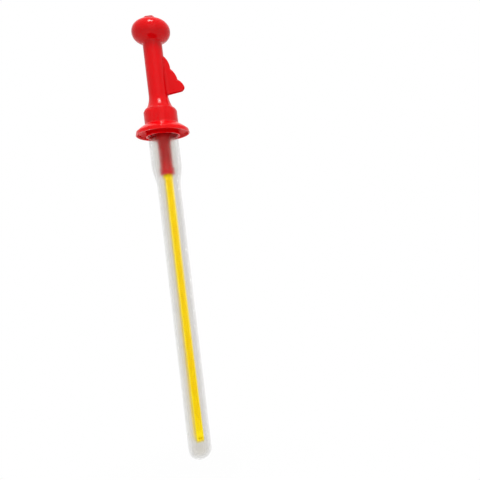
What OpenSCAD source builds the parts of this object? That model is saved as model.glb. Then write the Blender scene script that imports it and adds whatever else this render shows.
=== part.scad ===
// Bubble wand with a sword-style handle: a long translucent tube for the soap liquid, a
// screw-on guard that carries a hollow handle, and a ribbed dipping loop that hangs in the
// tube from a round stem.
// It stands upright with the handle up. The origin is on the tube's axis, where the straight
// wall begins above the domed end. The two rails of the loop face +Y and -Y, and the fin of
// the handle points along +X, turned a little towards -Y.

/* [Tube] */
// Outside diameter of the long straight wall
tube_d = 23; // [18:0.5:30]
// Wall thickness of the tube
tube_wall = 1.1; // [0.8:0.1:1.8]
// Length of the straight wall above the domed end
tube_straight = 263; // [190:1:360]
// Length over which the tube widens
tube_widening = 24; // [14:1:40]
// How far the upper part stands out from the straight wall
widening_step = 3.3; // [2:0.1:5]
// Length of the wide upper part below its rounded shoulder
tube_top_length = 29; // [15:1:60]
// Radius of the rounded shoulder
shoulder_round = 4; // [2:0.5:6]
// How far the neck stands out from the straight wall
neck_step = 0.9; // [0.5:0.1:1.5]
// Height of the neck above the shoulder
neck_height = 13.6; // [10:0.2:20]
// Rounding of the domed end as a share of the tube's radius
dome_round_share = 0.87; // [0.6:0.01:0.98]

/* [Seal] */
// Thickness of the sealing ring on the neck's lip
seal_thickness = 1.2; // [0.8:0.1:2]
// How far the sealing ring reaches past the lip on each side
seal_overlap = 0.9; // [0.4:0.1:1]

/* [Guard] */
// Room for the screw thread around the neck
thread_room = 1.3; // [1:0.1:2]
// Wall thickness of the collar around the thread
collar_wall = 3; // [2.4:0.1:4]
// Height of the collar
collar_height = 13.4; // [11:0.1:18]
// Chamfer of the collar's top edge
collar_chamfer = 0.6; // [0.3:0.1:1.2]
// Small step at the collar's foot
collar_foot = 0.5; // [0.2:0.1:1]
// How far the rim's upper edge stands out from the collar
flange_reach = 9.4; // [6:0.2:16]
// How far the rim hangs below the collar
flange_drop = 10; // [7:0.1:13]
// Wall thickness of the flange
flange_wall = 1.6; // [1:0.1:2.4]
// Height of the lip at the rim
rim_lip = 3.6; // [0.8:0.1:4]
// How far the lip spreads towards its lower edge
rim_spread = 0.7; // [0:0.1:1.2]
// Bulge of the flange as a share of its sloping length
flange_bulge_share = 0.028; // [0:0.002:0.08]
// Thickness of the web across the collar
web_thickness = 1.8; // [1.2:0.1:3]
// Depth of the cup above the web
cup_depth = 4; // [3.4:0.1:6]
// Gap between the skirt below the collar and the tube's upper part
skirt_gap = 0.4; // [0.3:0.1:0.8]
// How far the skirt reaches down over the tube's rounded shoulder
skirt_reach = 4.6; // [1:0.1:8]

/* [Handle] */
// Wall thickness of the hollow handle
handle_wall = 1.4; // [1:0.1:2.2]
// Height of the ball's centre above the guard
handle_height = 81.1; // [70:0.1:120]
// Diameter of the grip
grip_d = 19.2; // [16:0.2:23]
// Radius of the flare above the guard
flare_round = 27; // [22:0.5:30]
// Height of the flare
flare_height = 16.9; // [15:0.1:19]
// How far the handle's foot stays inside the collar
foot_step = 0.7; // [0.4:0.1:1.5]
// Rounding of the ring at the handle's foot
foot_round = 2.8; // [2:0.1:4]
// Thickness of the handle's foot plate and plug
plug_wall = 1.5; // [1:0.1:2]
// Diameter of the ball
ball_d = 38.4; // [32:0.2:46]
// Height of the ball
ball_height = 25.4; // [24:0.2:32]
// Radius of the ball's side as a share of its half height
side_round_share = 0.79; // [0.7:0.01:0.9]
// Fillet between the ball and the grip
ball_fillet = 2; // [1:0.1:4]

/* [Fin] */
// Distance from the ball's centre down to the fin's start
fin_start = 25.4; // [22:0.1:28]
// Length of the fin along the grip
fin_length = 40.1; // [30:0.1:44]
// How far the fin reaches out from the grip
fin_reach = 17.8; // [8:0.1:24]
// Thickness of the fin
fin_thickness = 3; // [2:0.1:4]
// Step that thins the fin's edge on each side
fin_edge = 0.7; // [0.3:0.1:0.9]
// Turn of the fin and the cord eye away from the plane across the loop, in degrees
fin_turn = -20; // [-90:1:90]

/* [Cord eye] */
// Width of the cord eye's flat top along the fin's plane
eye_top_width = 6.6; // [3:0.1:9]
// Width of the cord eye where it meets the ball
eye_base_width = 13.6; // [11:0.1:16]
// Depth of the cord eye
eye_depth = 7.6; // [5:0.1:9]
// Height of the cord eye above the ball
eye_height = 2.5; // [2.3:0.1:6]
// Width of the tunnel through the eye
tunnel_width = 7.6; // [6:0.1:8.6]
// Width of the tunnel's flat top
tunnel_top_width = 3.8; // [2:0.1:5]
// Thickness of the bridge over the tunnel
bridge_thickness = 1; // [0.8:0.1:1.2]
// Bulge of the eye's sides as a share of their length
eye_bulge_share = 0.09; // [0.05:0.01:0.2]

/* [Stem] */
// Outside diameter of the stem that holds the stick
stem_d = 12.9; // [12.4:0.1:13.6]
// Length of the stem below the web
stem_drop = 58.4; // [35:0.1:80]
// Wall thickness of the stem
stem_wall = 1.7; // [1.4:0.1:2.2]
// Diameter of the thicker ring at the stem's end
stem_ring_d = 14.4; // [14:0.1:16]
// Height of the thicker ring
stem_ring_height = 6.8; // [3:0.1:9]
// Thickness of the disc that carries the stem on the web
disc_thickness = 1.6; // [1:0.1:2.4]
// Depth of the socket for the stick
socket_depth = 15; // [8:0.5:24]

/* [Stick] */
// Diameter of the round root that sits in the stem
root_d = 10; // [7.5:0.1:10]
// Length of the root that shows below the stem
root_shown = 3.4; // [2:0.1:14]
// Length of the plain bar between the root and the loop
bar_length = 103; // [60:1:120]
// Width of the bar in the plane of the loop
bar_width = 9.2; // [6:0.1:9.4]
// Thickness of the bar and of the loop's rails across the plane of the loop
rail_depth = 7; // [5:0.1:7.5]
// Width of the loop's rails in its plane
rail_width = 4; // [3:0.1:5]
// Width of the loop's gap at its upper end
gap_start = 1.6; // [1:0.1:3]
// Thickness of the bar that closes the loop at its tip
end_thickness = 3; // [2.4:0.1:4]
// Height of the loop's tip above the start of the straight wall
tip_height = 7.3; // [1:0.1:30]
// Chamfer of the loop's outer corners
tip_chamfer = 2.5; // [1:0.1:3.5]
// Distance from one rib to the next
rib_pitch = 2.05; // [1.6:0.05:4]
// Share of the pitch that is groove
groove_share = 0.55; // [0.4:0.01:0.7]
// Depth of the grooves between the ribs
groove_depth = 1.1; // [0.6:0.1:1.2]
// Width of the ribbed track
track_width = 4.6; // [2:0.1:4.8]
// Plain length of the rails above the tip
plain_tip = 11; // [8:0.5:30]
// Plain length of the bar below the root
plain_top = 2.4; // [2:0.1:30]
// Width of the slit near the tip
slit_width = 4; // [2:0.1:5]
// Height of the slit near the tip
slit_height = 1.4; // [0.8:0.1:2]

/* [Fits] */
// Free gap between the stick's corners and the tube's bore
stick_gap = 0.5; // [0.3:0.1:1.5]
// Radial clearance between parts that are pushed together
push_clearance = 0.05; // [0.02:0.01:0.1]
// Gap between the root's end and the bottom of its socket
socket_gap = 0.2; // [0.1:0.1:1]
// Gap around the sealing ring inside the guard
seal_gap = 0.4; // [0.3:0.1:0.8]

/* [Hidden] */
$fn = 96;

handle_colour = [0.82, 0.03, 0.08];
stick_colour = [0.98, 0.8, 0.06];
tube_colour = [0.86, 0.87, 0.87, 0.5];
seal_colour = [0.93, 0.93, 0.92];

// Extra length that lets a cut run through a face, or a piece reach into the next one
cut_past = 1;
// Points along each curved piece of an outline
curve_steps = 8;

// Tube: radii, then heights from the origin upwards
tube_r = tube_d / 2;
bore_r = tube_r - tube_wall;
top_r = tube_r + widening_step;
neck_r = tube_r + neck_step;
dome_height = tube_r;
dome_round = tube_r * dome_round_share;
widening_round = (pow(tube_widening, 2) + pow(widening_step, 2)) / (4 * widening_step);
widening_angle = asin(tube_widening / 2 / widening_round);
top_z = tube_straight + tube_widening;
rounding_z = top_z + tube_top_length;
shoulder_z = rounding_z + shoulder_round;
lip_z = shoulder_z + neck_height;

// Seal and guard
seal_r = min(neck_r + seal_overlap, neck_r + thread_room - seal_gap);
seal_hole_r = neck_r - tube_wall - seal_overlap;
web_z = lip_z + seal_thickness;
cup_z = web_z + web_thickness;
collar_top_z = cup_z + cup_depth;
collar_low_z = collar_top_z - collar_height;
rim_z = collar_low_z - flange_drop;
recess_r = neck_r + thread_room;
collar_r = recess_r + collar_wall;
rim_top_r = collar_r + flange_reach;
rim_r = rim_top_r + rim_spread;
cup_r = collar_r - collar_wall - push_clearance;
skirt_inner_r = top_r + skirt_gap;
skirt_step_z = shoulder_z + skirt_gap;
skirt_z = shoulder_z - skirt_reach;
flange_start_r = collar_r + collar_foot;
flange_slope = (flange_drop - rim_lip) / (rim_top_r - flange_start_r);
flange_under = flange_wall * sqrt(1 + pow(flange_slope, 2));

// Handle
foot_z = collar_top_z;
foot_r = collar_r - foot_step;
plug_r = cup_r - push_clearance;
disc_z = cup_z + disc_thickness;
flare_z = foot_z + flare_height;
ball_z = foot_z + handle_height;
ball_r = ball_d / 2;
ball_half = ball_height / 2;
grip_r = grip_d / 2;
// Opening through the foot plate, which stays inside the flare's wall
mouth_r = min(plug_r - plug_wall, grip_r + flare_round
    - sqrt(pow(flare_round + handle_wall, 2) - pow(flare_height - plug_wall - cut_past, 2)));
side_round = ball_half * side_round_share;
crown_round = (pow(ball_r - side_round, 2) + pow(ball_half, 2) - pow(side_round, 2))
    / (2 * (ball_half - side_round));
crown_shift = crown_round - ball_half;
crown_angle = atan((ball_r - side_round) / crown_shift);
fillet_z = ball_z + crown_shift
    - sqrt(pow(crown_round + ball_fillet, 2) - pow(grip_r + ball_fillet, 2));

// Corners of the fin's edge: share of its length, share of its reach
fin_corner_shares = [[0, 0], [0.343, 0.307], [0.632, 0.648], [0.846, 1], [0.952, 0.81], [1, 0.04]];
// Bulge of each edge piece as a share of its length
fin_bulge_shares = [0.1, 0.085, 0.1, 0.13, 0];

// Stem and stick
stem_r = stem_d / 2;
stem_hole_r = stem_r + push_clearance;
stem_end_z = web_z - stem_drop;
socket_r = root_d / 2 + push_clearance;
root_z = stem_end_z - root_shown;
loop_z = root_z - bar_length;
bar_half = bar_width / 2;
rail_half = rail_depth / 2;
tip_half = sqrt(pow(bore_r - stick_gap, 2) - pow(rail_half, 2));
tip_corner_z = tip_height + tip_chamfer;
spread = (tip_half - bar_half) / (loop_z - tip_corner_z);
gap_top_z = loop_z - max(rail_width + gap_start / 2 - bar_half, 0) / spread;
rib_top_z = root_z - plain_top;
rib_count = floor((rib_top_z - tip_height - plain_tip) / rib_pitch);
groove_height = rib_pitch * groove_share;

// Half width of the stick's outline at a height
function stick_half(z) = bar_half + max(loop_z - z, 0) * spread;

// Points of a shallow arc from p to q, which bulges to the left by a share of its length
function bulged(p, q, share) =
    [for (i = [0 : curve_steps - 1])
        let (u = i / curve_steps, lift = 4 * share * u * (1 - u))
        [p.x + (q.x - p.x) * u - (q.y - p.y) * lift, p.y + (q.y - p.y) * u + (q.x - p.x) * lift]];

// Corner of the fin in the plane of the fin, with its edge drawn in by an inset
function fin_corner(i, inset) = [
    grip_r + max(fin_corner_shares[i].y * fin_reach - inset, 0),
    ball_z - fin_start - inset - fin_corner_shares[i].x * (fin_length - 2 * inset)
];

// Flat band beside the axis, from one height to another
module band(low_z, high_z, radius) {
    translate([0, low_z])
        square([radius, high_z - low_z]);
}

// Half section of the tube, drawn in by an inset
module tube_outline(inset, rise) {
    intersection() {
        band(inset - dome_height, tube_straight, tube_r - inset);
        union() {
            band(-dome_height, tube_straight, tube_r - dome_round);
            band(dome_round - dome_height, tube_straight, tube_r);
            translate([tube_r - dome_round, dome_round - dome_height])
                circle(dome_round - inset);
        }
    }
    // Core that joins the pieces above
    band(0, rounding_z, tube_r - inset);
    // Widening in two arcs that meet halfway
    split_r = tube_r + widening_step / 2 - inset * cos(widening_angle);
    split_z = tube_straight + tube_widening / 2 + inset * sin(widening_angle);
    difference() {
        band(tube_straight, split_z + cut_past, split_r);
        translate([tube_r + widening_round, tube_straight])
            circle(widening_round + inset);
    }
    intersection() {
        band(split_z, top_z + cut_past, top_r - inset);
        translate([top_r - widening_round, top_z])
            circle(widening_round - inset);
    }
    // Upper part, rounded shoulder and neck
    band(top_z, rounding_z, top_r - inset);
    band(top_z, shoulder_z - inset, top_r - shoulder_round);
    intersection() {
        band(rounding_z - cut_past, shoulder_z, top_r);
        translate([top_r - shoulder_round, rounding_z])
            circle(shoulder_round - inset);
    }
    band(top_z, lip_z + rise, neck_r - inset);
}

// Translucent tube with a domed end, a wide upper part and an open neck
module tube() {
    color(tube_colour)
        rotate_extrude()
            difference() {
                tube_outline(0, 0);
                tube_outline(tube_wall, cut_past);
            }
}

// Flat ring between the neck's lip and the guard's web
module seal() {
    color(seal_colour)
        translate([0, 0, lip_z])
            difference() {
                cylinder(r = seal_r, h = seal_thickness);
                translate([0, 0, -cut_past])
                    cylinder(r = seal_hole_r, h = seal_thickness + 2 * cut_past);
            }
}

// Height of the flange's underside at a radius
function under_z(radius) = collar_low_z - flange_under - flange_slope * (radius - flange_start_r);

// Guard: collar with a cup and a web, a skirt over the tube's shoulder, and the hollow flange
module guard() {
    rim_inner_r = rim_r - flange_wall;
    lip_inner_r = rim_top_r - flange_wall;
    color(handle_colour)
        rotate_extrude()
            polygon(concat(
                [[stem_hole_r, web_z], [recess_r, web_z], [recess_r, skirt_step_z]],
                [[skirt_inner_r, skirt_step_z], [skirt_inner_r, skirt_z], [collar_r, skirt_z]],
                bulged([collar_r, under_z(collar_r)], [lip_inner_r, under_z(lip_inner_r)],
                    flange_bulge_share),
                [[lip_inner_r, under_z(lip_inner_r)], [rim_inner_r, rim_z], [rim_r, rim_z]],
                bulged([rim_top_r, rim_z + rim_lip], [flange_start_r, collar_low_z],
                    -flange_bulge_share),
                [[flange_start_r, collar_low_z], [collar_r, collar_low_z + collar_foot]],
                [[collar_r, collar_top_z - collar_chamfer], [collar_r - collar_chamfer, collar_top_z]],
                [[cup_r, collar_top_z], [cup_r, cup_z], [stem_hole_r, cup_z]]
            ));
}

// Half section of the ball, which is an upright oval of four arcs
module ball_outline(inset) {
    join_r = (crown_round - inset) * sin(crown_angle);
    intersection() {
        band(ball_z - ball_half, ball_z + ball_half, join_r);
        translate([0, ball_z - crown_shift])
            circle(crown_round - inset);
        translate([0, ball_z + crown_shift])
            circle(crown_round - inset);
    }
    intersection() {
        band(ball_z - ball_half, ball_z + ball_half, ball_r);
        translate([ball_r - side_round, ball_z])
            circle(side_round - inset);
    }
}

// Half section of the handle above a floor height, drawn in by an inset
module handle_outline(inset, floor_z) {
    ball_outline(inset);
    band(floor_z, ball_z, grip_r - inset);
    difference() {
        band(floor_z, flare_z, foot_r - inset);
        translate([grip_r + flare_round, flare_z])
            circle(flare_round + inset);
    }
    // Rounded ring at the foot, which the wall behind it doesn't follow
    if (inset == 0)
        intersection() {
            band(floor_z, floor_z + foot_round, foot_r);
            translate([foot_r - foot_round, floor_z])
                circle(foot_round);
        }
    // Fillet under the ball, which touches the ball at a share of the way to its own centre
    touch_share = (crown_round - inset) / (crown_round + ball_fillet);
    crown_z = ball_z + crown_shift;
    inner_r = grip_r - inset - handle_wall;
    difference() {
        polygon([
            [inner_r, fillet_z], [grip_r + ball_fillet, fillet_z],
            [(grip_r + ball_fillet) * touch_share, crown_z - (crown_z - fillet_z) * touch_share],
            [inner_r, ball_z]
        ]);
        translate([grip_r + ball_fillet, fillet_z])
            circle(ball_fillet + inset);
    }
}

// Edge of the fin with three lobes, drawn in by an inset
module fin_outline(inset) {
    last = len(fin_bulge_shares) - 1;
    root_r = grip_r - handle_wall / 2;
    polygon(concat(
        [[root_r, fin_corner(0, inset).y]],
        [for (i = [0 : last])
            each bulged(fin_corner(i, inset), fin_corner(i + 1, inset), fin_bulge_shares[i])],
        [fin_corner(last + 1, inset), [root_r, fin_corner(last + 1, inset).y]]
    ));
}

// Plate in the plane of the fin, centred on it
module plate(thickness) {
    rotate([90, 0, 0])
        linear_extrude(height = thickness, center = true)
            children();
}

// Arch with upright feet from a low height to a base height, and with bulging sides above
module arch(base_half, top_half, low_z, base_z, high_z) {
    polygon(concat(
        [[base_half, low_z]],
        bulged([base_half, base_z], [top_half, high_z], -eye_bulge_share),
        [[top_half, high_z]],
        bulged([-top_half, high_z], [-base_half, base_z], -eye_bulge_share),
        [[-base_half, base_z], [-base_half, low_z]]
    ));
}

// Low loop on top of the ball for a cord
module cord_eye() {
    crown_z = ball_z - crown_shift;
    ball_top_z = ball_z + ball_half;
    eye_top_z = ball_top_z + eye_height;
    base_half = eye_base_width / 2;
    base_z = crown_z + sqrt(pow(crown_round, 2) - pow(base_half, 2));
    low_z = base_z - handle_wall;
    plate(eye_depth)
        difference() {
            arch(base_half, eye_top_width / 2, low_z, base_z, eye_top_z);
            arch(tunnel_width / 2, tunnel_top_width / 2, low_z - cut_past, ball_top_z,
                eye_top_z - bridge_thickness);
            translate([0, crown_z])
                circle(crown_round - handle_wall / 2);
        }
}

// Hollow handle: ball, grip, flare, plug, fin and cord eye
module handle() {
    color(handle_colour) {
        rotate_extrude()
            difference() {
                union() {
                    handle_outline(0, foot_z);
                    band(disc_z, foot_z + plug_wall, plug_r);
                }
                handle_outline(handle_wall, foot_z + plug_wall);
                band(disc_z - cut_past, foot_z, plug_r - plug_wall);
                band(disc_z - cut_past, foot_z + plug_wall + cut_past, mouth_r);
            }
        rotate([0, 0, fin_turn]) {
            plate(fin_thickness - 2 * fin_edge)
                fin_outline(0);
            plate(fin_thickness)
                fin_outline(fin_edge);
            cord_eye();
        }
    }
}

// Stem: a carrying disc, a tube and a thicker end ring with the socket
module stem() {
    color(handle_colour)
        difference() {
            union() {
                translate([0, 0, stem_end_z])
                    cylinder(r = stem_r, h = disc_z - stem_end_z);
                translate([0, 0, stem_end_z])
                    cylinder(d = stem_ring_d, h = stem_ring_height);
                translate([0, 0, cup_z])
                    cylinder(r = plug_r, h = disc_thickness);
            }
            translate([0, 0, stem_end_z - cut_past])
                cylinder(r = socket_r, h = socket_depth + cut_past);
            translate([0, 0, stem_end_z])
                cylinder(r = stem_r - stem_wall - push_clearance, h = cup_z - stem_end_z);
        }
}

// Upright plate of the stick: bar, two spreading rails and the end bar
module stick_outline() {
    gap_top_half = stick_half(gap_top_z) - rail_width;
    gap_low_z = tip_height + end_thickness;
    gap_low_half = tip_half - rail_width;
    difference() {
        polygon([
            [-bar_half, root_z + cut_past], [-bar_half, loop_z], [-tip_half, tip_corner_z],
            [tip_chamfer - tip_half, tip_height], [tip_half - tip_chamfer, tip_height],
            [tip_half, tip_corner_z], [bar_half, loop_z], [bar_half, root_z + cut_past]
        ]);
        polygon([
            [0, gap_top_z + gap_top_half],
            [-gap_top_half, gap_top_z],
            [-gap_low_half, gap_low_z + tip_chamfer],
            [tip_chamfer - gap_low_half, gap_low_z],
            [gap_low_half - tip_chamfer, gap_low_z],
            [gap_low_half, gap_low_z + tip_chamfer],
            [gap_top_half, gap_top_z]
        ]);
    }
}

// Row of grooves in the outer face of one rail
module grooves(side) {
    for (i = [0 : rib_count - 1]) {
        groove_z = rib_top_z - i * rib_pitch;
        start_y = stick_half(groove_z) - groove_depth;
        translate([-track_width / 2, side > 0 ? start_y : -start_y - 2 * groove_depth, groove_z - groove_height])
            cube([track_width, 2 * groove_depth, groove_height]);
    }
}

// Ribbed dipping stick with a round root
module stick() {
    color(stick_colour)
        difference() {
            union() {
                rotate([90, 0, 90])
                    linear_extrude(height = rail_depth, center = true)
                        stick_outline();
                translate([0, 0, root_z])
                    cylinder(d = root_d, h = root_shown + socket_depth - socket_gap);
            }
            grooves(1);
            grooves(-1);
            translate([-slit_width / 2, -tip_half - cut_past, tip_height + end_thickness + slit_height / 2])
                cube([slit_width, 2 * (tip_half + cut_past), slit_height]);
        }
}

tube();
seal();
guard();
handle();
stem();
stick();
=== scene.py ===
import math

import bmesh
import bpy
import numpy as np
from mathutils import Matrix, Vector


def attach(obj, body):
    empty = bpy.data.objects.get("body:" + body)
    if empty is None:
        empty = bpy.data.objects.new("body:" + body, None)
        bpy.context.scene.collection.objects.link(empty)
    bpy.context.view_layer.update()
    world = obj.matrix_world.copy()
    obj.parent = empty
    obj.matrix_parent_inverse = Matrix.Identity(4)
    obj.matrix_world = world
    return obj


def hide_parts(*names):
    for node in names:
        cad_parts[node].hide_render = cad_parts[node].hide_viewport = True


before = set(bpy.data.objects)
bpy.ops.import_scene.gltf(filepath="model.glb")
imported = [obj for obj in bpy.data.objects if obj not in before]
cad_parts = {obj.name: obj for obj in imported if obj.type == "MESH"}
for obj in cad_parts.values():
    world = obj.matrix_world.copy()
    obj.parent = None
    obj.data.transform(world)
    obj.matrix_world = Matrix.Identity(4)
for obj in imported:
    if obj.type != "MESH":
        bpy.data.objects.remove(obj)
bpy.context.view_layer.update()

MM = 0.001
FIN_TURN = -20.0
TURN = Matrix.Rotation(math.radians(FIN_TURN), 4, "Z")

# ---------------------------------------------------------------- sizes in millimetres
# The values are those of the part's CAD source, except where a comment says otherwise.

# Tube: its origin is at the lower end of the straight wall
TUBE_R, TOP_R, NECK_R, WALL = 11.5, 14.8, 12.4, 1.1
DOME_ROUND = TUBE_R * 0.87
STRAIGHT, TOP_Z, ROUNDING_Z, LIP_Z = 263.0, 287.0, 316.0, 333.6
WIDENING_HEIGHT, WIDENING_STEP = 24.0, 3.3
SHOULDER_ROUND = 4.0

# Guard: web, cup, collar, flange and skirt
WEB_Z, DISC_Z, CUP_Z, FOOT_Z = 334.8, 338.2, 336.6, 340.6
RECESS_R, CUP_R, COLLAR_R, RIM_TOP_R, RIM_R = 13.7, 13.65, 16.7, 26.1, 26.8
COLLAR_LOW_Z, COLLAR_STEP, RIM_Z, RIM_LIP = 327.2, 0.5, 317.2, 3.6
SKIRT_R, SKIRT_STEP_Z, SKIRT_Z = 15.2, 320.4, 315.4
FLANGE_WALL, FLANGE_BULGE = 1.6, 0.028
WEB_GAP, COLLAR_CHAMFER = 0.05, 0.6
# Drawn here only: height of the slope at the collar's foot
COLLAR_FOOT_HEIGHT = 0.9

# Handle: ball of four arcs, grip, flare, foot and plug
GRIP_R, BALL_R, BALL_Z, BALL_HALF = 9.6, 19.2, 421.7, 12.7
SIDE_ROUND = BALL_HALF * 0.79
CROWN_ROUND = (((BALL_R - SIDE_ROUND) ** 2 + BALL_HALF ** 2 - SIDE_ROUND ** 2)
               / (2 * (BALL_HALF - SIDE_ROUND)))
CROWN_SHIFT = CROWN_ROUND - BALL_HALF
CROWN_ANGLE = math.degrees(math.atan((BALL_R - SIDE_ROUND) / CROWN_SHIFT))
BALL_FILLET = 2.0
FLARE_ROUND, FLARE_Z = 27.0, 357.5
FOOT_R, FOOT_ROUND = 16.0, 2.8
PLUG_R, PLUG_WALL = 13.6, 1.5
# Drawn here only: the flare's arc ends here, and a bulge leads on to the foot's ring, which
# begins at an angle. The foot and the plug have worn edges.
FLARE_END_Z, FOOT_BULGE, FOOT_START = 343.55, 0.12, 62
FOOT_EDGE, PLUG_EDGE = 0.12, 0.3

# Fin: shares of its length and its reach at the corners, and the bulges between them
FIN_START, FIN_LENGTH, FIN_REACH = 25.4, 40.1, 17.8
FIN_CORNERS = [(0, 0), (0.343, 0.307), (0.632, 0.648), (0.846, 1), (0.952, 0.81), (1, 0.04)]
FIN_BULGES = [0.1, 0.085, 0.1, 0.13, 0]
# Half thickness of its thin margin, and how far the middle rises above that
FIN_MARGIN_HALF, FIN_RISE = 0.8, 0.7
# Drawn here only: rounded edge, sloping rise, fillet at the grip
FIN_EDGE_ROUND, FIN_RISE_START, FIN_RISE_WIDTH = 0.45, 0.72, 0.3
FIN_FILLET, FIN_FILLET_FADE = 1.8, 1.2
FIN_ROOT_DEPTH, FIN_FILLET_DEPTH = 0.75, 0.2
# Steps of the fin's points: along the outline as it is softened, and along the finished edge
FIN_OUTLINE_STEP, FIN_SOFTENING, FIN_EDGE_STEP = 0.25, 5, 0.3
# Distances of the fin's rows of points from its edge, and the number of rows to its root
FIN_ROWS = (0.03, 0.1, 0.2, 0.32, 0.45, 0.6, 0.71, 0.79, 0.87, 0.95, 1.03, 1.3)
FIN_ROOT_ROWS = 16
# Power that crowds the root's ends of those rows towards the top
FIN_FAN = 0.85

# Cord eye and its tunnel: half widths at the base and the top, and height above the ball
EYE_DEPTH, EYE_BULGE = 7.6, -0.09
EYE_OUTER_HALVES, EYE_OUTER_HEIGHT = (6.8, 3.3), 2.5
EYE_INNER_HALVES, EYE_INNER_HEIGHT = (3.8, 1.9), 1.5
# Drawn here only: how far their feet go down into the ball, and the powers that turn the bar's
# round section into a worn rectangle
EYE_OUTER_SUNK, EYE_INNER_SUNK = 1.0, 1.2
EYE_POWER_ACROSS, EYE_POWER_DEEP = 0.35, 0.2
EYE_STATIONS, EYE_SOFTENING, EYE_SIDES = 61, 4, 32

# Mould seam of the handle, drawn here only: closer angles beside it, its height and half width
SEAM_ANGLES = [0.35, 0.7, 1.1, 1.6, 2.2]
SEAM_HEIGHT, SEAM_WIDTH = 0.07, 0.13

# Stem
STEM_R, STEM_RING_R, STEM_END_Z, STEM_RING_H = 6.45, 7.2, 276.4, 6.8
STEM_BORE_R, SOCKET_R, SOCKET_TOP = 4.7, 5.05, 291.4

# Threads, drawn here only: crest, half widths of base and crest, start, pitch, turns and phase
THREAD_PITCH = 4.0
GUARD_THREAD = {"crest_r": 13.32, "base_half": 0.75, "crest_half": 0.35,
                "low_z": 323.6, "turns": 1.6, "phase": 150}
TUBE_THREAD = {"crest_r": 13.2, "base_half": 0.8, "crest_half": 0.35,
               "low_z": 323.2, "turns": 1.75, "phase": 330}
THREAD_STEPS, THREAD_FADES, THREAD_LEAST, THREAD_SUNK = 96, 8, 0.02, 0.3

# Stick, drawn here only: its ribs get worn edges
STICK_BEVEL, STICK_BEVEL_PROFILE = 0.14, 0.6
STICK_FLAT_ANGLE, STICK_SHARP_ANGLE = 1, 25

# Sides of the turned pieces
HANDLE_SIDES, GUARD_SIDES, TUBE_SIDES, STEM_SIDES = 144, 160, 144, 96
# Edges sharper than these angles in degrees stay sharp in the shading
SHARP_ANGLE, TUBE_SHARP_ANGLE = 34, 50

# ---------------------------------------------------------------- outlines


def arc(r, z, radius, start, end, steps):
    """Points of an arc about (r, z), with its angles in degrees from the +r direction."""
    return [(r + radius * math.cos(math.radians(a)), z + radius * math.sin(math.radians(a)))
            for a in np.linspace(start, end, steps + 1)]


def bulged(p, q, share, steps=20):
    """Points of a shallow arc from p to just before q.

    The arc bulges to the left by a share of its length.
    """
    points = []
    for u in np.linspace(0, 1, steps + 1)[:-1]:
        lift = 4 * share * u * (1 - u)
        points.append((p[0] + (q[0] - p[0]) * u - (q[1] - p[1]) * lift,
                       p[1] + (q[1] - p[1]) * u + (q[0] - p[0]) * lift))
    return points


def rounded(corners, closed=True, steps=5):
    """Outline through corners (r, z, radius), each rounded by its radius."""
    longest_share = 0.48
    points = []
    count = len(corners)
    for i, (r, z, radius) in enumerate(corners):
        if radius == 0 or (not closed and i in (0, count - 1)):
            points.append((r, z))
            continue
        p = Vector((r, z))
        a = Vector(corners[i - 1][:2]) - p
        b = Vector(corners[(i + 1) % count][:2]) - p
        reach = min(radius / math.tan(a.angle(b) / 2),
                    longest_share * a.length, longest_share * b.length)
        a, b = p + a.normalized() * reach, p + b.normalized() * reach
        for t in np.linspace(0, 1, steps + 1):
            q = a * (1 - t) ** 2 + p * (2 * t * (1 - t)) + b * t * t
            points.append((q.x, q.y))
    return points


def softened(points, rounds):
    """Polyline with its corners worn round by averaging neighbours."""
    p = np.array(points)
    for _ in range(rounds):
        p[1:-1] = 0.25 * p[:-2] + 0.5 * p[1:-1] + 0.25 * p[2:]
    return p


def resampled(points, count=None, step=None):
    """Polyline resampled at even steps, by the number of its points or by a step's length."""
    p = np.array(points)
    lengths = np.concatenate([[0], np.cumsum(np.linalg.norm(np.diff(p, axis=0), axis=1))])
    if count is None:
        count = int(lengths[-1] / step) + 1
    at = np.linspace(0, lengths[-1], count)
    return np.stack([np.interp(at, lengths, p[:, k]) for k in (0, 1)], 1)


def distance_to(points, line):
    """Distance of each point from a polyline."""
    best = np.full(len(points), 1e9)
    for a, b in zip(line[:-1], line[1:]):
        ab = b - a
        t = np.clip(((points - a) @ ab) / (ab @ ab), 0, 1)
        best = np.minimum(best, np.linalg.norm(points - a - t[:, None] * ab, axis=1))
    return best


# ---------------------------------------------------------------- meshes


def new_object(name, mesh_parts, material, body, nodes, sharp=SHARP_ANGLE):
    """Object of one mesh from several lists of vertices, in millimetres, and faces."""
    vertices, faces = [], []
    for part_vertices, part_faces in mesh_parts:
        base = len(vertices)
        vertices += list(part_vertices)
        faces += [[base + i for i in face] for face in part_faces]
    mesh = bpy.data.meshes.new(name)
    mesh.from_pydata([tuple(c * MM for c in v) for v in vertices], [], faces)
    finish_object(bpy.data.objects.new(name, mesh), material, body, nodes, sharp)


def finish_object(obj, material, body, nodes, sharp=SHARP_ANGLE):
    """Clean the mesh, set its shading and material, and put the object in the frame."""
    same_place = 1e-7
    bm = bmesh.new()
    bm.from_mesh(obj.data)
    bmesh.ops.remove_doubles(bm, verts=bm.verts, dist=same_place)
    bmesh.ops.dissolve_degenerate(bm, edges=bm.edges, dist=same_place)
    bmesh.ops.recalc_face_normals(bm, faces=bm.faces)
    bm.to_mesh(obj.data)
    bm.free()
    for polygon in obj.data.polygons:
        polygon.use_smooth = True
    obj.data.set_sharp_from_angle(angle=math.radians(sharp))
    bpy.context.scene.collection.objects.link(obj)
    obj.data.materials.clear()
    obj.data.materials.append(material)
    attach(obj, body)
    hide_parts(*nodes)


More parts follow.
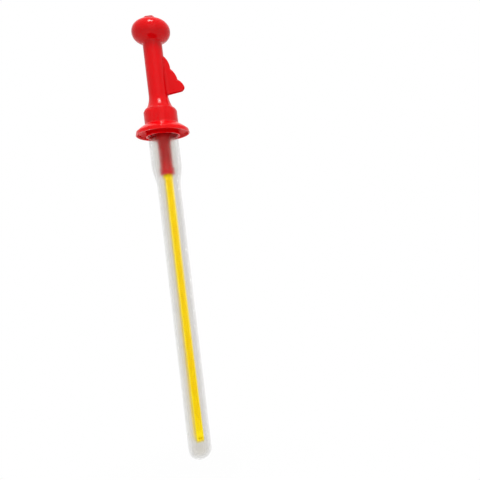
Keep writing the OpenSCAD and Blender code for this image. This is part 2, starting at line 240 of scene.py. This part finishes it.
def lathe(profile, angles, closed, radius_at=None):
    """Vertices and faces of a profile turned about the axis. radius_at changes r by angle."""
    on_axis = 1e-6
    vertices, rings = [], []
    for r, z in profile:
        if r < on_axis:
            rings.append([len(vertices)] * len(angles))
            vertices.append((0, 0, z))
            continue
        rings.append(list(range(len(vertices), len(vertices) + len(angles))))
        for a in angles:
            rr = radius_at(r, a) if radius_at else r
            vertices.append((rr * math.cos(math.radians(a)), rr * math.sin(math.radians(a)), z))
    faces = []
    pairs = zip(rings, rings[1:] + rings[:1]) if closed else zip(rings, rings[1:])
    for low, high in pairs:
        for i in range(len(angles)):
            j = (i + 1) % len(angles)
            # A vertex on the axis stands for a whole ring, and counts once in a face
            face = list(dict.fromkeys((low[i], low[j], high[j], high[i])))
            if len(face) > 2:
                faces.append(face)
    return vertices, faces


def even_angles(count):
    return [360 * i / count for i in range(count)]


def loft(rings):
    """Vertices and faces that join closed rings of equal length, with flat ends."""
    count = len(rings[0])
    vertices = [v for ring in rings for v in ring]
    faces = []
    for k in range(len(rings) - 1):
        low, high = k * count, (k + 1) * count
        for i in range(count):
            j = (i + 1) % count
            faces.append([low + i, low + j, high + j, high + i])
    faces.append(list(range(count))[::-1])
    faces.append([(len(rings) - 1) * count + i for i in range(count)])
    return vertices, faces


def thread(base_r, crest_r, base_half, crest_half, low_z, turns, phase):
    """Helical ridge that fades in and out at its ends."""
    rings = []
    steps = int(turns * THREAD_STEPS)
    sunk = base_r - math.copysign(THREAD_SUNK, crest_r - base_r)
    for k in range(steps + 1):
        t = k / steps
        a = math.radians(phase + t * turns * 360)
        fade = min(1, min(t, 1 - t) * turns * THREAD_FADES)
        fade = fade * fade * (3 - 2 * fade)
        z = low_z + t * turns * THREAD_PITCH
        top = base_r + (crest_r - base_r) * (THREAD_LEAST + (1 - THREAD_LEAST) * fade)
        section = [(base_r, -base_half), (top, -crest_half), (top, 0), (top, crest_half),
                   (base_r, base_half), (sunk, base_half), (sunk, -base_half)]
        rings.append([(r * math.cos(a), r * math.sin(a), z + dz) for r, dz in section])
    return loft(rings)


def turned(mesh_part):
    """The same vertices turned with the fin, and their faces."""
    vertices, faces = mesh_part
    return [tuple(TURN @ Vector(v)) for v in vertices], faces


# ---------------------------------------------------------------- materials

# Values that a noise rarely leaves
NOISE_RANGE = (0.3, 0.7)


def srgb(r, g, b):
    """Linear colour of an 8-bit sRGB colour."""
    return [c / 255 / 12.92 if c <= 10 else ((c / 255 + 0.055) / 1.055) ** 2.4
            for c in (r, g, b)] + [1]


class Nodes:
    """Short way to build a material's nodes. Scales are per metre."""

    def __init__(self, name):
        self.material = bpy.data.materials.new(name)
        self.material.use_nodes = True
        self.tree = self.material.node_tree
        self.shader = self.tree.nodes["Principled BSDF"]
        self.output = self.tree.nodes["Material Output"]
        coordinates = self.add("ShaderNodeTexCoord")
        self.place = coordinates.outputs["Object"]

    def add(self, kind, **values):
        node = self.tree.nodes.new(kind)
        for key, value in values.items():
            setattr(node, key, value)
        return node

    def link(self, a, b):
        self.tree.links.new(a, b)

    def noise(self, scale, detail=4.0, roughness=0.55, stretch=None):
        node = self.add("ShaderNodeTexNoise")
        node.inputs["Scale"].default_value = scale
        node.inputs["Detail"].default_value = detail
        node.inputs["Roughness"].default_value = roughness
        place = self.place
        if stretch:
            mapping = self.add("ShaderNodeMapping")
            mapping.inputs["Scale"].default_value = stretch
            self.link(place, mapping.inputs["Vector"])
            place = mapping.outputs["Vector"]
        self.link(place, node.inputs["Vector"])
        return node.outputs["Fac"]

    def ranged(self, value, low, high, source=NOISE_RANGE):
        node = self.add("ShaderNodeMapRange")
        node.inputs["From Min"].default_value, node.inputs["From Max"].default_value = source
        node.inputs["To Min"].default_value, node.inputs["To Max"].default_value = low, high
        self.link(value, node.inputs["Value"])
        return node.outputs["Result"]

    def mixed(self, value, first, second):
        """Mix of two colours by a noise."""
        node = self.add("ShaderNodeMix", data_type="RGBA")
        a, b = [s for s in node.inputs if s.type == "RGBA"]
        a.default_value, b.default_value = first, second
        self.link(self.ranged(value, 0, 1), node.inputs["Factor"])
        return [s for s in node.outputs if s.type == "RGBA"][0]

    def bump(self, value, strength, distance, normal=None):
        node = self.add("ShaderNodeBump")
        node.inputs["Strength"].default_value = strength
        node.inputs["Distance"].default_value = distance
        self.link(value, node.inputs["Height"])
        if normal:
            self.link(normal, node.inputs["Normal"])
        return node.outputs["Normal"]

    def refraction(self, colour, ior, roughness, normal=None):
        node = self.add("ShaderNodeBsdfRefraction", distribution="BECKMANN")
        node.inputs["Color"].default_value = colour
        node.inputs["IOR"].default_value = ior
        self.link(roughness, node.inputs["Roughness"])
        if normal:
            self.link(normal, node.inputs["Normal"])
        return node.outputs["BSDF"]

    def math(self, operation, first, second):
        node = self.add("ShaderNodeMath", operation=operation)
        self.link(first, node.inputs[0])
        self.link(second, node.inputs[1])
        return node.outputs["Value"]

    def mixed_shaders(self, share, first, second):
        """Mix of two shaders by a share, which is a number or an output."""
        node = self.add("ShaderNodeMixShader")
        if isinstance(share, float):
            node.inputs["Fac"].default_value = share
        else:
            self.link(share, node.inputs["Fac"])
        self.link(first, node.inputs[1])
        self.link(second, node.inputs[2])
        return node.outputs["Shader"]


def plastic(name, light, dark, rough, waves, grain, coat=0.0, shine=0.5, glow=0.0, depth=0.002):
    """Moulded plastic: two close shades in soft clouds, uneven polish, fine orange peel."""
    n = Nodes(name)
    s = n.shader
    cloud = n.noise(scale=55, detail=3, roughness=0.5)
    n.link(n.mixed(cloud, light, dark), s.inputs["Base Color"])
    polish = n.noise(scale=420, detail=6, roughness=0.6)
    n.link(n.ranged(polish, *rough), s.inputs["Roughness"])
    wavy = n.bump(n.noise(scale=150, detail=2, roughness=0.4), strength=waves, distance=0.0002)
    fine = n.bump(n.noise(scale=1800, detail=3, roughness=0.5), strength=grain,
                  distance=0.00003, normal=wavy)
    n.link(fine, s.inputs["Normal"])
    s.inputs["Specular IOR Level"].default_value = shine
    s.inputs["Coat Weight"].default_value = coat
    s.inputs["Coat Roughness"].default_value = 0.04
    s.inputs["Subsurface Weight"].default_value = glow
    s.inputs["Subsurface Radius"].default_value = (1.0, 0.12, 0.12)
    s.inputs["Subsurface Scale"].default_value = depth
    return n.material


def frosted(name):
    """Translucent plastic, which blurs what is behind it and has a pale skin at a slant."""
    n = Nodes(name)
    s = n.shader
    cloud = n.noise(scale=40, detail=3, roughness=0.5, stretch=(1, 1, 0.15))
    n.link(n.mixed(cloud, (0.73, 0.71, 0.67, 1), (0.69, 0.67, 0.63, 1)), s.inputs["Base Color"])
    frost = n.noise(scale=700, detail=6, roughness=0.6, stretch=(1, 1, 0.3))
    n.link(n.ranged(frost, 0.14, 0.22), s.inputs["Roughness"])
    grain = n.bump(n.noise(scale=1500, detail=4, roughness=0.6), strength=0.2, distance=0.00005)
    n.link(grain, s.inputs["Normal"])
    s.inputs["IOR"].default_value = 1.18
    s.inputs["Transmission Weight"].default_value = 1.0

    # What is behind the wall, in a sharp and a blurred copy, both with the wall's warm tint
    tint = (0.835, 0.82, 0.787, 1)
    blur = n.refraction(tint, ior=1.4, roughness=n.ranged(frost, 0.5, 0.6))
    fine = n.refraction(tint, ior=1.12, roughness=n.ranged(frost, 0.16, 0.26), normal=grain)
    shiny = n.mixed_shaders(0.7, s.outputs["BSDF"], fine)
    soft = n.mixed_shaders(0.5, shiny, blur)

    # More passes straight through where the wall turns away, until the skin's haze sets in
    facing = n.add("ShaderNodeLayerWeight")
    facing.inputs["Blend"].default_value = 0.5
    slant = facing.outputs["Facing"]
    through = n.add("ShaderNodeBsdfTransparent")
    direct = n.mixed_shaders(n.ranged(slant, 0.3, 0.88, source=(0.0, 0.5)),
                             soft, through.outputs["BSDF"])
    skin = n.add("ShaderNodeBsdfDiffuse")
    n.link(n.mixed(cloud, (0.86, 0.86, 0.85, 1), (0.8, 0.8, 0.79, 1)), skin.inputs["Color"])
    hazy = n.mixed_shaders(n.ranged(slant, 0.0, 0.12, source=(0.5, 1.0)),
                           direct, skin.outputs["BSDF"])

    # Shadow rays pass, so the stick inside is lit
    clear = n.add("ShaderNodeBsdfTransparent")
    clear.inputs["Color"].default_value = (0.98, 0.98, 0.98, 1)
    path = n.add("ShaderNodeLightPath")
    lit = n.mixed_shaders(path.outputs["Is Shadow Ray"], hazy, clear.outputs["BSDF"])
    n.link(lit, n.output.inputs["Surface"])
    return n.material


def foam(name):
    """Matt closed-cell foam."""
    n = Nodes(name)
    s = n.shader
    cloud = n.noise(scale=300, detail=4)
    n.link(n.mixed(cloud, srgb(238, 238, 234), srgb(214, 214, 208)), s.inputs["Base Color"])
    cells = n.add("ShaderNodeTexVoronoi")
    cells.inputs["Scale"].default_value = 3500
    n.link(n.place, cells.inputs["Vector"])
    n.link(n.bump(cells.outputs["Distance"], strength=0.5, distance=0.00006), s.inputs["Normal"])
    n.link(n.ranged(n.noise(scale=900), 0.75, 0.9), s.inputs["Roughness"])
    return n.material


red_handle = plastic("red_handle", srgb(202, 1, 7), srgb(194, 1, 5), rough=(0.12, 0.17),
                     waves=0.02, grain=0.03, shine=0.16, glow=0.3)
red_guard = plastic("red_guard", srgb(208, 1, 8), srgb(200, 1, 6), rough=(0.13, 0.19),
                    waves=0.03, grain=0.04, shine=0.16, glow=0.85, depth=0.005)
red_stem = plastic("red_stem", srgb(205, 5, 10), srgb(190, 3, 8), rough=(0.2, 0.3),
                   waves=0.05, grain=0.06, coat=0.2)
yellow_stick = plastic("yellow_stick", srgb(255, 232, 4), srgb(255, 223, 2), rough=(0.28, 0.4),
                       waves=0.05, grain=0.1, shine=0.2)
seal_foam = foam("seal_foam")
tube_plastic = frosted("tube_plastic")

# ---------------------------------------------------------------- handle


def seamed_angles(count):
    """Even angles with closer ones at the two mould seams."""
    angles = set(even_angles(count))
    for middle in (0, 180):
        angles |= {(middle + side * a) % 360 for a in SEAM_ANGLES for side in (1, -1)}
    return sorted(angles)


def seam(r, a):
    """Radius with the fine ridge that the mould's halves leave."""
    off = min(abs((a + 180) % 360 - 180), abs(a - 180))
    across = math.radians(off) * r
    return r + SEAM_HEIGHT * math.exp(-(across / SEAM_WIDTH) ** 2)


def handle_outline():
    """Half section of the handle's outside, from the ball's top down to the plug's opening."""
    high_z, low_z = BALL_Z - CROWN_SHIFT, BALL_Z + CROWN_SHIFT
    fillet_r = GRIP_R + BALL_FILLET
    fillet_z = low_z - math.sqrt((CROWN_ROUND + BALL_FILLET) ** 2 - fillet_r ** 2)
    touch = math.degrees(math.atan2(fillet_z - low_z, fillet_r))
    side = 90 - CROWN_ANGLE
    flare = math.degrees(math.asin((FLARE_Z - FLARE_END_Z) / FLARE_ROUND))
    foot = arc(FOOT_R - FOOT_ROUND, FOOT_Z, FOOT_ROUND, FOOT_START, 0, steps=12)

    points = [(0, BALL_Z + BALL_HALF)]
    points += arc(0, high_z, CROWN_ROUND, 90, side, steps=26)[1:]
    points += arc(BALL_R - SIDE_ROUND, BALL_Z, SIDE_ROUND, side, -side, steps=36)[1:]
    points += arc(0, low_z, CROWN_ROUND, -side, touch, steps=14)[1:]
    points += arc(fillet_r, fillet_z, BALL_FILLET, 180 + touch, 180, steps=8)[1:]
    points += [(GRIP_R, z) for z in np.linspace(fillet_z, FLARE_Z, 27)[1:]]
    points += arc(GRIP_R + FLARE_ROUND, FLARE_Z, FLARE_ROUND, 180, 180 + flare, steps=24)[1:]
    points += bulged(points[-1], foot[0], FOOT_BULGE, steps=4)[1:]
    points += foot
    points += [(FOOT_R - FOOT_EDGE, FOOT_Z), (PLUG_R, FOOT_Z), (PLUG_R, DISC_Z + PLUG_EDGE),
               (PLUG_R - PLUG_EDGE, DISC_Z), (PLUG_R - PLUG_WALL, DISC_Z),
               (PLUG_R - PLUG_WALL, FOOT_Z), (0, FOOT_Z)]
    return points


def fin_corner(i):
    down, out = FIN_CORNERS[i]
    return GRIP_R + out * FIN_REACH, BALL_Z - FIN_START - down * FIN_LENGTH


def fin_half_thickness(from_edge, from_grip):
    """Half thickness: rounded edge, thin margin, raised middle, fillet at the grip."""
    rounding = np.clip(from_edge / FIN_EDGE_ROUND, 0, 1)
    margin = FIN_MARGIN_HALF * np.sqrt(np.clip(1 - (1 - rounding) ** 2, 0, 1))
    rise = np.clip((from_edge - FIN_RISE_START) / FIN_RISE_WIDTH, 0, 1)
    middle = margin + FIN_RISE * rise * rise * (3 - 2 * rise)
    q = np.clip(from_grip, 0, FIN_FILLET)
    fillet = FIN_FILLET - np.sqrt(FIN_FILLET ** 2 - (FIN_FILLET - q) ** 2)
    return middle + fillet * np.clip(from_edge / FIN_FILLET_FADE, 0, 1)


def fin_edge(root_r):
    """Even points along the fin's edge, which begin and end at its root."""
    outline = []
    for i, bulge in enumerate(FIN_BULGES):
        outline += bulged(fin_corner(i), fin_corner(i + 1), bulge, steps=40)
    outline.append(fin_corner(len(FIN_BULGES)))
    outline = softened(resampled(outline, step=FIN_OUTLINE_STEP), FIN_SOFTENING)
    edge = resampled(outline, step=FIN_EDGE_STEP)
    return np.vstack([[root_r, edge[0][1]], edge, [root_r, edge[-1][1]]])


def fin_mesh():
    """Vertices and faces of the fin, in rows of points from its edge to its root."""
    root_r = GRIP_R - FIN_ROOT_DEPTH
    edge = fin_edge(root_r)
    low_z, high_z = edge[:, 1].min(), edge[:, 1].max()
    rows = []
    for top, share in zip(edge, np.linspace(0, 1, len(edge))):
        foot = np.array([root_r, high_z + (low_z - high_z) * share ** FIN_FAN])
        length = np.linalg.norm(top - foot)
        if length < 1e-6:
            length = 0.02
            foot = top - np.array([length, 0])
        near = [min(d, length * (j + 1) / FIN_ROOT_ROWS) for j, d in enumerate(FIN_ROWS)]
        far = np.linspace(near[-1], length, FIN_ROOT_ROWS)[1:]
        distances = np.concatenate([[0], near, far])
        rows.append(top + (foot - top) * (distances / length)[:, None])
    rows = np.array(rows)
    stations, across = rows.shape[:2]
    flat = rows.reshape(-1, 2)
    from_edge = distance_to(flat, edge[1:-1])
    from_grip = flat[:, 0] - (GRIP_R - FIN_FILLET_DEPTH)
    half = fin_half_thickness(from_edge, from_grip).reshape(stations, across)
    half[:, 0] = 0

    vertices = [(rows[k, j, 0], side * half[k, j], rows[k, j, 1])
                for side in (1, -1) for k in range(stations) for j in range(across)]
    count = stations * across
    faces = []
    for base in (0, count):
        for k in range(stations - 1):
            for j in range(across - 1):
                a = base + k * across + j
                faces.append([a, a + 1, a + across + 1, a + across])
    for k in range(stations - 1):
        a, b = (k + 1) * across - 1, (k + 2) * across - 1
        faces.append([a, b, b + count, a + count])
    for k in (0, stations - 1):
        for j in range(across - 1):
            a = k * across + j
            faces.append([a, a + 1, a + 1 + count, a + count])
    return vertices, faces


def arch_line(halves, low_z, base_z, high_z):
    """Outline of an arch, worn round at its corners, with feet that go down to low_z."""
    base_half, top_half = halves
    points = [(base_half, low_z)]
    points += bulged((base_half, base_z), (top_half, high_z), EYE_BULGE, steps=12)
    points += [(top_half, high_z)]
    points += bulged((-top_half, high_z), (-base_half, base_z), EYE_BULGE, steps=12)
    points += [(-base_half, base_z), (-base_half, low_z)]
    return softened(resampled(points, count=EYE_STATIONS), EYE_SOFTENING)


def eye_mesh():
    """Vertices and faces of the cord eye: a rounded bar bent over the tunnel."""
    outer_half = EYE_OUTER_HALVES[0]
    base_z = BALL_Z - CROWN_SHIFT + math.sqrt(CROWN_ROUND ** 2 - outer_half ** 2)
    ball_top_z = BALL_Z + BALL_HALF
    outer = arch_line(EYE_OUTER_HALVES, base_z - EYE_OUTER_SUNK, base_z,
                      ball_top_z + EYE_OUTER_HEIGHT)
    inner = arch_line(EYE_INNER_HALVES, ball_top_z - EYE_INNER_SUNK, ball_top_z,
                      ball_top_z + EYE_INNER_HEIGHT)
    rings = []
    for o, i in zip(outer, inner):
        middle, reach = (o + i) / 2, (o - i) / 2
        ring = []
        for t in np.linspace(0, 2 * math.pi, EYE_SIDES + 1)[:-1]:
            c, s = math.cos(t), math.sin(t)
            p = middle + reach * math.copysign(abs(c) ** EYE_POWER_ACROSS, c)
            y = math.copysign(abs(s) ** EYE_POWER_DEEP, s) * EYE_DEPTH / 2
            ring.append((p[0], y, p[1]))
        rings.append(ring)
    return loft(rings)


handle_shell = lathe(handle_outline(), seamed_angles(HANDLE_SIDES), False, seam)
new_object("handle_moulding", [turned(p) for p in (handle_shell, fin_mesh(), eye_mesh())],
           red_handle, "wand", ["handle"])

# ---------------------------------------------------------------- guard


def guard_outline():
    """Section of the guard: web, skirt, flange, collar and cup, with worn edges."""
    collar_edge_r = COLLAR_R + COLLAR_STEP
    slope = (COLLAR_LOW_Z - RIM_Z - RIM_LIP) / (RIM_TOP_R - COLLAR_R - COLLAR_STEP)
    under = FLANGE_WALL * math.hypot(1, slope)

    def under_z(r):
        return COLLAR_LOW_Z - under - slope * (r - COLLAR_R - COLLAR_STEP)

    def flange(p, q, bulge):
        return [(r, z, 0) for r, z in bulged(p, q, bulge)]

    web_r = STEM_R + WEB_GAP
    lip_inner = RIM_TOP_R - FLANGE_WALL
    rim_inner = RIM_R - FLANGE_WALL
    corners = [(web_r, WEB_Z, 0), (RECESS_R, WEB_Z, 0.3), (RECESS_R, SKIRT_STEP_Z, 0.2),
               (SKIRT_R, SKIRT_STEP_Z, 0.2), (SKIRT_R, SKIRT_Z, 0.3), (COLLAR_R, SKIRT_Z, 0.3)]
    corners += flange((COLLAR_R, under_z(COLLAR_R)), (lip_inner, under_z(lip_inner)),
                      FLANGE_BULGE)
    corners += [(lip_inner, under_z(lip_inner), 0.5), (rim_inner, RIM_Z, 0.35),
                (RIM_R, RIM_Z, 0.5), (RIM_TOP_R, RIM_Z + RIM_LIP, 0.7)]
    corners += flange((RIM_TOP_R, RIM_Z + RIM_LIP), (collar_edge_r, COLLAR_LOW_Z),
                      -FLANGE_BULGE)[1:]
    corners += [(collar_edge_r, COLLAR_LOW_Z, 0.6),
                (COLLAR_R, COLLAR_LOW_Z + COLLAR_FOOT_HEIGHT, 0.6),
                (COLLAR_R, FOOT_Z - COLLAR_CHAMFER, 0.25),
                (COLLAR_R - COLLAR_CHAMFER, FOOT_Z, 0.2),
                (CUP_R, FOOT_Z, 0), (CUP_R, CUP_Z, 0), (web_r, CUP_Z, 0)]
    return rounded(corners)


guard_shell = lathe(guard_outline(), even_angles(GUARD_SIDES), True)
new_object("guard_moulding", [guard_shell, thread(RECESS_R, **GUARD_THREAD)],
           red_guard, "wand", ["guard"])

# ---------------------------------------------------------------- tube


def tube_side(inset):
    """Half section of the wall from the dome's bottom to the neck, drawn in by an inset."""
    widening = (WIDENING_HEIGHT ** 2 + WIDENING_STEP ** 2) / (4 * WIDENING_STEP)
    angle = math.degrees(math.asin(WIDENING_HEIGHT / 2 / widening))
    dome_z = DOME_ROUND - TUBE_R
    points = [(0, inset - TUBE_R)]
    points += arc(TUBE_R - DOME_ROUND, dome_z, DOME_ROUND - inset, -90, 0, steps=26)
    points += [(TUBE_R - inset, z) for z in np.linspace(dome_z, STRAIGHT, 40)[1:]]
    points += arc(TUBE_R + widening, STRAIGHT, widening + inset, 180, 180 - angle, steps=12)[1:]
    points += arc(TOP_R - widening, TOP_Z, widening - inset, -angle, 0, steps=12)[1:]
    points += [(TOP_R - inset, z) for z in np.linspace(TOP_Z, ROUNDING_Z, 8)[1:]]
    neck = NECK_R - inset
    centre = TOP_R - SHOULDER_ROUND
    end = math.degrees(math.acos((neck - centre) / (SHOULDER_ROUND - inset)))
    points += arc(centre, ROUNDING_Z, SHOULDER_ROUND - inset, 0, end, steps=14)[1:]
    points += [(neck, z) for z in np.linspace(points[-1][1], LIP_Z, 9)[1:-1]]
    return points


def lip_outline():
    """Open outline over the neck's lip, which is worn round."""
    inner_r, below = NECK_R - WALL, LIP_Z - 1
    return rounded([(NECK_R, below, 0), (NECK_R, LIP_Z, 0.3), (inner_r, LIP_Z, 0.3),
                    (inner_r, below, 0)], closed=False)


tube_outline = tube_side(0) + lip_outline() + tube_side(WALL)[::-1]
tube_shell = lathe(tube_outline, even_angles(TUBE_SIDES), False)
new_object("tube_moulding", [tube_shell, thread(NECK_R, **TUBE_THREAD)],
           tube_plastic, "tube", ["tube"], TUBE_SHARP_ANGLE)

# ---------------------------------------------------------------- stem

stem_ring_top = STEM_END_Z + STEM_RING_H
stem_corners = [(SOCKET_R, STEM_END_Z, 0.2), (STEM_RING_R, STEM_END_Z, 0.45),
                (STEM_RING_R, stem_ring_top, 0.45), (STEM_R, stem_ring_top, 0.35),
                (STEM_R, CUP_Z, 0.1), (PLUG_R, CUP_Z, 0.2), (PLUG_R, DISC_Z, 0.2),
                (STEM_BORE_R, DISC_Z, 0.2), (STEM_BORE_R, SOCKET_TOP, 0.1),
                (SOCKET_R, SOCKET_TOP, 0.1)]
new_object("stem_tube", [lathe(rounded(stem_corners), even_angles(STEM_SIDES), True)],
           red_stem, "wand", ["stem"])

# ---------------------------------------------------------------- stick and seal

stick = bpy.data.objects.new("stick_ribbed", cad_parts["stick"].data.copy())
bm = bmesh.new()
bm.from_mesh(stick.data)
bmesh.ops.remove_doubles(bm, verts=bm.verts, dist=2e-7)
bmesh.ops.dissolve_limit(bm, angle_limit=math.radians(STICK_FLAT_ANGLE),
                         verts=bm.verts, edges=bm.edges)
sharp_edges = [e for e in bm.edges
               if e.is_manifold and e.calc_face_angle() > math.radians(STICK_SHARP_ANGLE)]
bmesh.ops.bevel(bm, geom=sharp_edges, offset=STICK_BEVEL * MM, segments=2,
                profile=STICK_BEVEL_PROFILE, affect="EDGES", clamp_overlap=True)
bmesh.ops.triangulate(bm, faces=[f for f in bm.faces if len(f.verts) > 4])
bm.to_mesh(stick.data)
bm.free()
finish_object(stick, yellow_stick, "wand", ["stick"])

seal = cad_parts["seal"]
seal.data.materials.clear()
seal.data.materials.append(seal_foam)

# ---------------------------------------------------------------- stage, lights and camera
# Places are in metres and turn with the fin, so the camera looks along +Y.

WHITE = (1, 1, 1, 1)
FLOOR_SIZE, FLOOR_CENTRE = (2.4, 1.58), (0, -0.39, -0.11)
# The shadow lies on a round patch under the object, and the floor fades to white around it
PATCH_R, PATCH_GLOW, PATCH_FADE = 0.38, 0.85, (0.1, 0.9)
# Level of the room's light, and of the backdrop for the rays that show it
FILL_LEVEL = 0.68
BACKDROP_LEVEL = 1.0
BACKDROP_RAYS = ("Is Camera Ray", "Is Glossy Ray", "Is Transmission Ray")
CAMERA_AT = (0.0961, -0.4848, 0.1928)
PICTURE_TILT = -6.755
PICTURE_SHIFT = (-0.0667, 0.0125)


def floor_paint():
    """Matt pale paint, which glows white for the rays that show the backdrop."""
    n = Nodes("floor_paint")
    s = n.shader
    shades = n.mixed(n.noise(scale=3), (0.83, 0.83, 0.83, 1), (0.8, 0.8, 0.8, 1))
    n.link(shades, s.inputs["Base Color"])
    s.inputs["Roughness"].default_value = 0.9
    s.inputs["Specular IOR Level"].default_value = 0.1
    glow = n.add("ShaderNodeEmission")
    glow.inputs["Color"].default_value = WHITE
    glow.inputs["Strength"].default_value = BACKDROP_LEVEL
    path = n.add("ShaderNodeLightPath")
    seen = path.outputs[BACKDROP_RAYS[0]]
    for ray in BACKDROP_RAYS[1:]:
        seen = n.math("MAXIMUM", seen, path.outputs[ray])
    patch = n.add("ShaderNodeMapping", vector_type="TEXTURE")
    patch.inputs["Location"].default_value = (0, -FLOOR_CENTRE[1], 0)
    patch.inputs["Scale"].default_value = (PATCH_R, PATCH_R, 1)
    n.link(n.place, patch.inputs["Vector"])
    fade = n.add("ShaderNodeTexGradient", gradient_type="SPHERICAL")
    n.link(patch.outputs["Vector"], fade.inputs["Vector"])
    share = n.ranged(fade.outputs["Fac"], 1.0, PATCH_GLOW, source=PATCH_FADE)
    surface = n.mixed_shaders(n.math("MULTIPLY", seen, share),
                              s.outputs["BSDF"], glow.outputs["Emission"])
    n.link(surface, n.output.inputs["Surface"])
    return n.material


def add_floor():
    x, y = FLOOR_SIZE[0] / 2, FLOOR_SIZE[1] / 2
    mesh = bpy.data.meshes.new("floor")
    mesh.from_pydata([(-x, -y, 0), (x, -y, 0), (x, y, 0), (-x, y, 0)], [], [(0, 1, 2, 3)])
    obj = bpy.data.objects.new("floor", mesh)
    obj.matrix_world = TURN @ Matrix.Translation(FLOOR_CENTRE)
    mesh.materials.append(floor_paint())
    bpy.context.scene.collection.objects.link(obj)


def add_world():
    """Even white room, at the backdrop's level for the rays that show it."""
    world = bpy.data.worlds.new("studio")
    bpy.context.scene.world = world
    world.use_nodes = True
    tree = world.node_tree
    background = tree.nodes["Background"]
    background.inputs["Color"].default_value = WHITE
    path = tree.nodes.new("ShaderNodeLightPath")
    strength = None
    for ray in BACKDROP_RAYS:
        choice = tree.nodes.new("ShaderNodeMix")
        tree.links.new(path.outputs[ray], choice.inputs["Factor"])
        choice.inputs["A"].default_value = FILL_LEVEL
        choice.inputs["B"].default_value = BACKDROP_LEVEL
        if strength:
            tree.links.new(strength, choice.inputs["A"])
        strength = choice.outputs["Result"]
    tree.links.new(strength, background.inputs["Strength"])


def panel(name, place, target, width, height, radiance):
    """Soft panel of a given radiance that faces a point."""
    light = bpy.data.lights.new(name, "AREA")
    light.shape = "RECTANGLE"
    light.size, light.size_y = width, height
    light.energy = radiance * math.pi * width * height
    obj = bpy.data.objects.new(name, light)
    direction = Vector(target) - Vector(place)
    facing = direction.to_track_quat("-Z", "Y").to_matrix().to_4x4()
    obj.matrix_world = TURN @ Matrix.Translation(place) @ facing
    obj.visible_camera = False
    bpy.context.scene.collection.objects.link(obj)


def add_camera():
    camera = bpy.data.cameras.new("camera")
    camera.lens, camera.sensor_width = 36, 36
    camera.shift_x, camera.shift_y = PICTURE_SHIFT
    camera.clip_start = 0.01
    obj = bpy.data.objects.new("camera", camera)
    upright = Matrix.Rotation(math.radians(90), 4, "X")
    tilt = Matrix.Rotation(math.radians(PICTURE_TILT), 4, "Z")
    obj.matrix_world = TURN @ Matrix.Translation(CAMERA_AT) @ upright @ tilt
    bpy.context.scene.collection.objects.link(obj)
    bpy.context.scene.camera = obj


add_floor()
add_world()
panel("overhead", place=(0.25, -1.0, 1.9), target=(0.25, -1.0, 0),
      width=0.6, height=0.7, radiance=28.6)
panel("front_right", place=(0.42, -1.23, 0.35), target=(0, 0, 0.25),
      width=0.9, height=1.3, radiance=0.45)
add_camera()

bpy.context.scene.view_settings.view_transform = "Standard"
